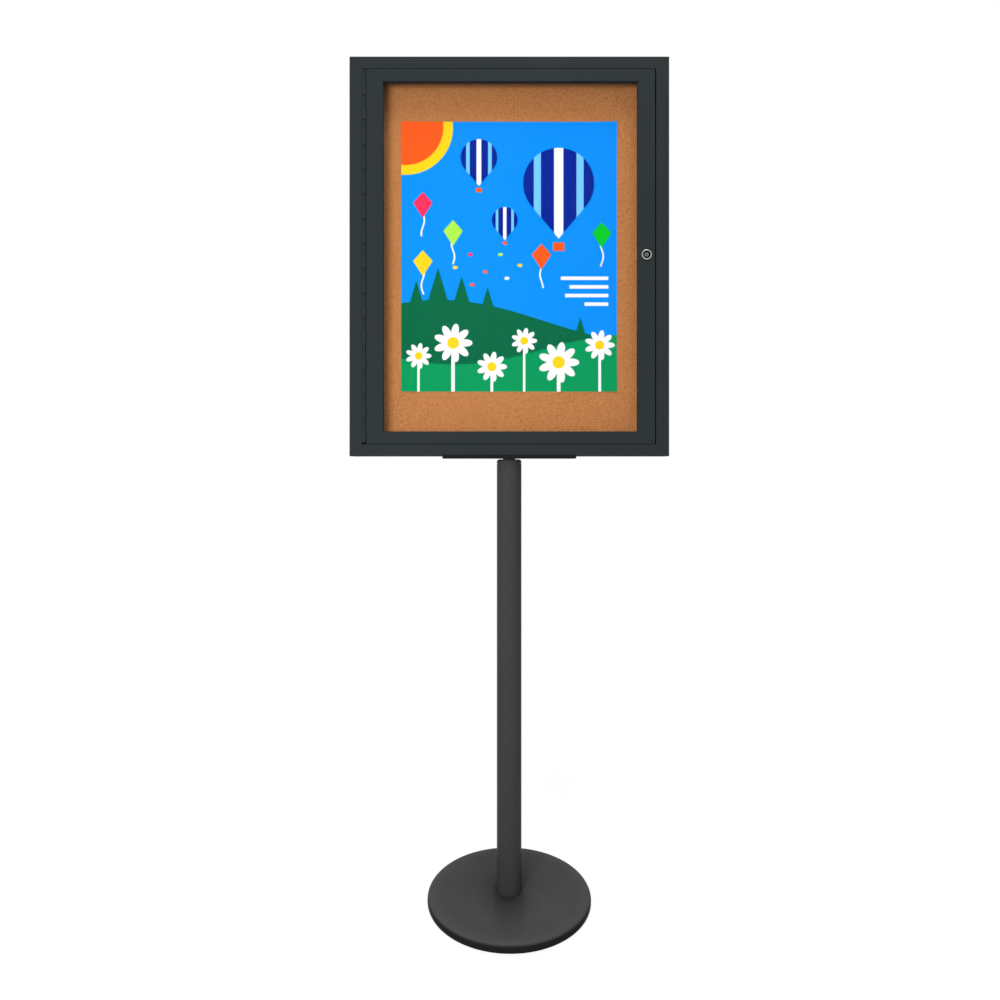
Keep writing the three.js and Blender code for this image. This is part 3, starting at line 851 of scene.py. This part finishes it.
def lifted_sheet():
    """A flat sheet whose corners lift a little off the cork."""
    thickness = 0.00025
    lift = 0.0022
    lift_starts = 0.62
    waver = 0.00012
    waver_across = 17
    waver_up = 9
    shape = bmesh.new()
    bmesh.ops.create_grid(shape, x_segments=44, y_segments=56, size=0.5)
    bmesh.ops.scale(shape, verts=shape.verts, vec=(sheet_width, sheet_height, 1))
    bmesh.ops.rotate(shape, verts=shape.verts, cent=(0, 0, 0), matrix=face_front)
    for vert in shape.verts:
        side = abs(vert.co.x) / (sheet_width / 2)
        end = abs(vert.co.z) / (sheet_height / 2)
        corner = max(0, side * end - lift_starts) / (1 - lift_starts)
        wave = math.sin(vert.co.x * waver_across + vert.co.z * waver_up) + 1
        vert.co.y -= corner ** 2 * lift + wave * waver
    bmesh.ops.translate(shape, verts=shape.verts, vec=(0, sheet_high.y, sheet_middle))
    bmesh.ops.solidify(shape, geom=shape.faces, thickness=thickness)
    return shape


add_piece("printed_sheet", lifted_sheet(), printed_paper(), "poster", "cabinet", "poster")


# Back panel: thin coated sheet that closes the cabinet, screwed into the groove of the bars with
# cross-headed pan screws.
back_easing = 0.0003
add_eased("back_sheet", back_easing, charcoal_paint, "back_paint", "cabinet", "back_panel")
face_back = facing(-90, "X")
back_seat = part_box("back_panel")[1].y
back_screw_count = 8
back_screw_shank = 0.0014
for number in range(1, back_screw_count + 1):
    node = f"back_screw_{number}"
    low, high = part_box(node)
    head = (high.x - low.x) / 2
    shape = pan_screw(back_screw_shank, head, high.y - back_seat, back_seat - low.y, "cross")
    put(shape, ((low.x + high.x) / 2, back_seat, (low.z + high.z) / 2), face_back)
    add_piece(f"back_screw_cross_{number}", shape, zinc, "zinc", "cabinet", node)


# Door seal: a strip of black foam, stuck on the stop lip of the cabinet bars. The door meets its
# soft rounded face.
def foam():
    cells_per_metre = 1400
    cell_black = srgb(16, 16, 17)
    skin_grey = srgb(44, 44, 46)
    finish = Finish("seal_foam", Roughness=0.95, Specular_IOR_Level=0.2)
    place = finish.place()
    cells = finish.add("ShaderNodeTexVoronoi", None, {"Vector": place, "Scale": cells_per_metre})
    finish.drive(Base_Color=finish.blend(cells, cell_black, skin_grey))
    finish.bump(cells, distance=0.0003, strength=0.8)
    return finish


seal_round = 0.0008
seal_segments = 3
add_piece(
    "seal_strip", eased("door_seal", seal_round, seal_segments), foam(), "rubber", "cabinet",
    "door_seal")


# Piano hinge: two strips of steel whose edges are cut into fingers and rolled round one long pin.
# The knuckles take turns along it, and flat-headed screws hold each strip to its bar.
hinge_axis = Vector(next(
    joint["pos_m"] for joint in frame["record"]["behaviour"]["joints"]
    if joint["name"] == "door_swing"))
leaf_low, leaf_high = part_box("hinge_cabinet_leaf")
leaf_length = leaf_high.z - leaf_low.z
leaf_sheet = 0.0012
knuckle_radius = 0.003
knuckle_count = 30
knuckle_gap = 0.0004
knuckle_clear = 0.0003
knuckle_steps = 26
knuckle_pitch = leaf_length / knuckle_count


def rolled_leaf(side, first):
    """A strip with every second finger rolled round the pin, on the left (-1) or right (1)."""
    notch = knuckle_radius + knuckle_clear
    depth = leaf_high.y - hinge_axis.y - notch
    roll = math.tau - math.acos(1 - leaf_sheet / knuckle_radius)
    shape = bmesh.new()
    levels = [0]
    for finger in range(first, knuckle_count, 2):
        levels.append(knuckle_pitch * finger + knuckle_gap / 2)
        levels.append(knuckle_pitch * (finger + 1) - knuckle_gap / 2)
    levels.append(leaf_length)
    row = [shape.verts.new((side * knuckle_radius, notch, level)) for level in levels]
    line = [shape.edges.new(pair) for pair in zip(row, row[1:])]
    fingers = line[1::2]

    def drawn(edges, reach):
        grown = bmesh.ops.extrude_edge_only(shape, edges=edges)["geom"]
        ends = [item for item in grown if isinstance(item, bmesh.types.BMVert)]
        bmesh.ops.translate(shape, verts=ends, vec=(0, reach, 0))
        return [
            item for item in grown
            if isinstance(item, bmesh.types.BMEdge) and set(item.verts) <= set(ends)]

    drawn(line, depth)
    roots = drawn(fingers, -notch)
    bmesh.ops.spin(
        shape, geom=roots, cent=(0, 0, 0), axis=(0, 0, 1), angle=-side * roll,
        steps=knuckle_steps)
    bmesh.ops.recalc_face_normals(shape, faces=shape.faces)
    bmesh.ops.solidify(shape, geom=shape.faces, thickness=leaf_sheet * side)
    return put(shape, (hinge_axis.x, hinge_axis.y, leaf_low.z))


for name, side, first in (("cabinet", -1, 0), ("door", 1, 1)):
    add_piece(
        f"hinge_rolled_{name}_leaf", rolled_leaf(side, first), charcoal_paint, "frame_paint",
        name, f"hinge_{name}_leaf")

pin_low, pin_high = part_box("hinge_pin")
pin_radius = (pin_high.x - pin_low.x) / 2
pin_facets = 24
pin_round = pin_radius * 0.6
pin_round_segments = 4
pin_profile = [
    (0, pin_low.z), (pin_radius, pin_low.z), (pin_radius, pin_high.z), (0, pin_high.z)]
pin_corners = {1: (pin_round, pin_round_segments), 2: (pin_round, pin_round_segments)}
pin_shape = spun(pin_profile, pin_corners, pin_facets)
put(pin_shape, (hinge_axis.x, hinge_axis.y, 0))
pin_steel = plated("pin_steel", srgb(98, 102, 106), roughness=0.5, cloud_scale=300)
add_piece("hinge_pin_rod", pin_shape, pin_steel, "zinc", "cabinet", "hinge_pin")

face_right = facing(90, "Y")
face_left = facing(-90, "Y")
leaf_screw_count = 9
leaf_screw_head = 0.0027
leaf_screw_shank = 0.0015
leaf_screw_length = 0.006
leaf_screw_proud = 0.0002
leaf_screw_end = 0.03
leaf_middle = (knuckle_radius + knuckle_clear + leaf_high.y - hinge_axis.y) / 2
for name, side, turn in (("cabinet", -1, face_right), ("door", 1, face_left)):
    screws = bmesh.new()
    face = side * (knuckle_radius - leaf_sheet - leaf_screw_proud)
    for number in range(leaf_screw_count):
        share = number / (leaf_screw_count - 1)
        level = leaf_low.z + leaf_screw_end + share * (leaf_length - leaf_screw_end * 2)
        one = sunk_screw(leaf_screw_shank, leaf_screw_head, leaf_screw_length, "cross")
        put(one, (hinge_axis.x + face, hinge_axis.y + leaf_middle, level), turn)
        one_mesh = bpy.data.meshes.new("leaf_screw")
        one.to_mesh(one_mesh)
        one.free()
        screws.from_mesh(one_mesh)
        bpy.data.meshes.remove(one_mesh)
    add_piece(f"hinge_{name}_leaf_screws", screws, zinc, "zinc", name)


# Door bars: four lengths of a slimmer extrusion with a glazing groove, mitred and coated like the
# cabinet. The right one has a hole for the lock.
for side, way in bars.items():
    add_eased(
        f"door_bar_{side}", bar_corner, charcoal_paint, "frame_paint", "door", f"door_{side}",
        way)


# Clear sheet of the door and its gasket. The sheet mirrors weakly, and more at a slant, and the
# gasket is extruded rubber that grips its edge and shows as a thin dark line.
def clear_sheet():
    slant_mirror = 0.8
    slant_focus = 5
    smear_mirror = 0.004
    least_mirror = 0.0015
    finish = Finish("clear_sheet", Base_Color=(0.95, 0.97, 0.97, 1), Metallic=1.0, Roughness=0.03)
    smears = finish.noise(finish.place(), scale=5, detail=3)
    slant = finish.add("ShaderNodeLayerWeight", None, {"Blend": 0.5}, "Facing")
    finish.drive(Alpha=slant ** slant_focus * slant_mirror + smears * smear_mirror + least_mirror)
    return finish


dress(clear_sheet(), "glazing")
gasket_rubber = rubber("gasket_rubber", srgb(34, 36, 38), grain_scale=900)
gasket_easing = 0.0003
add_eased("gasket_channel", gasket_easing, gasket_rubber, "rubber", "door", "glazing_gasket")


# Cam lock. The body is turned and nickel plated, with a raised bezel round a recess painted dark
# as shade, and a thread for its nut. The plug has its keyway in the middle and carries a steel
# cam behind the door.
lock_low, lock_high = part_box("lock_body")
lock_place = Vector(((lock_low.x + lock_high.x) / 2, lock_low.y, (lock_low.z + lock_high.z) / 2))
lock_length = lock_high.y - lock_low.y
bezel_radius = (lock_high.x - lock_low.x) / 2
bezel_thickness = 0.0025
bezel_edge = 0.0012
bezel_edge_segments = 5
lock_barrel = 0.007
lock_recess = 0.0062
lock_recess_depth = 0.002
lock_bore = 0.0043
lock_steps = 48
thread_start = 0.0031
thread_pitch = 0.001
thread_depth = 0.0004


def turned_nickel(name, dull, bright, painted_shade_radius):
    """Nickel plate with fine turned rings, and painted shade inside a radius about the lock's axis.
    """
    ring_pace = 14000
    plate_roughness = 0.18
    ring_roughness = 0.02
    recess_roughness = 0.4
    # Painted shade: near black inside the recess about the axis.
    painted_recess_shade = srgb(22, 22, 23)
    finish = Finish(name, Metallic=1.0)
    place = finish.place()
    across = finish.part(place, "X") - lock_place.x
    up = finish.part(place, "Z") - lock_place.z
    reach = across.reach(up)
    rings = (reach * ring_pace).math("SINE")
    recess_shade_mask = reach < painted_shade_radius
    plate = finish.blend(finish.noise(place, scale=260, detail=2), dull, bright)
    finish.drive(
        Base_Color=finish.blend(recess_shade_mask, plate, painted_recess_shade),
        Roughness=recess_shade_mask * recess_roughness + rings * ring_roughness + plate_roughness)
    finish.bump(rings, distance=0.00001, strength=0.5)
    return finish


thread = []
for groove in range(int((lock_length - thread_start) / thread_pitch)):
    level = -thread_start - groove * thread_pitch
    thread.append((lock_barrel, level))
    thread.append((lock_barrel - thread_depth, level - thread_pitch / 2))
lock_profile = [
    (lock_bore, -lock_recess_depth), (lock_recess, -lock_recess_depth), (lock_recess, 0),
    (bezel_radius, 0), (bezel_radius, -bezel_thickness), (lock_barrel, -bezel_thickness),
    *thread, (lock_barrel, -lock_length), (lock_bore, -lock_length),
    (lock_bore, -lock_recess_depth)]
lock_corners = {2: (bezel_edge, bezel_edge_segments), 3: (bezel_edge, bezel_edge_segments)}
lock_shape = spun(lock_profile, lock_corners, lock_steps)
put(lock_shape, lock_place, face_front)
# The body's recess gets painted shade; the plug below gets none.
lock_nickel = turned_nickel(
    "lock_nickel", srgb(112, 112, 110), srgb(212, 212, 208), lock_recess + bezel_edge)
add_piece("lock_barrel", lock_shape, lock_nickel, "nickel", "door", "lock_body")

plug_nickel = turned_nickel("plug_nickel", srgb(96, 96, 95), srgb(150, 150, 148), painted_shade_radius=0)
plug_easing = 0.0002
nut_easing = 0.0004
cam_easing = 0.0003
add_eased("lock_key_plug", plug_easing, plug_nickel, "nickel", "lock_cylinder", "lock_plug")
add_eased("lock_hex_nut", nut_easing, zinc, "zinc", "door", "lock_nut")
add_eased("lock_steel_cam", cam_easing, zinc, "zinc", "lock_cylinder", "lock_cam")

cam_screw_low, cam_screw_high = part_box("cam_screw")
cam_screw_head = (cam_screw_high.x - cam_screw_low.x) / 2
cam_screw_shank = 0.0015
cam_screw_rise = 0.0022
cam_screw_seat = cam_screw_high.y - cam_screw_rise
cam_screw_shape = pan_screw(
    cam_screw_shank, cam_screw_head, cam_screw_rise, cam_screw_seat - cam_screw_low.y, "cross")
put(cam_screw_shape, (lock_place.x, cam_screw_seat, lock_place.z), face_back)
add_piece("cam_screw_cross", cam_screw_shape, zinc, "zinc", "lock_cylinder", "cam_screw")
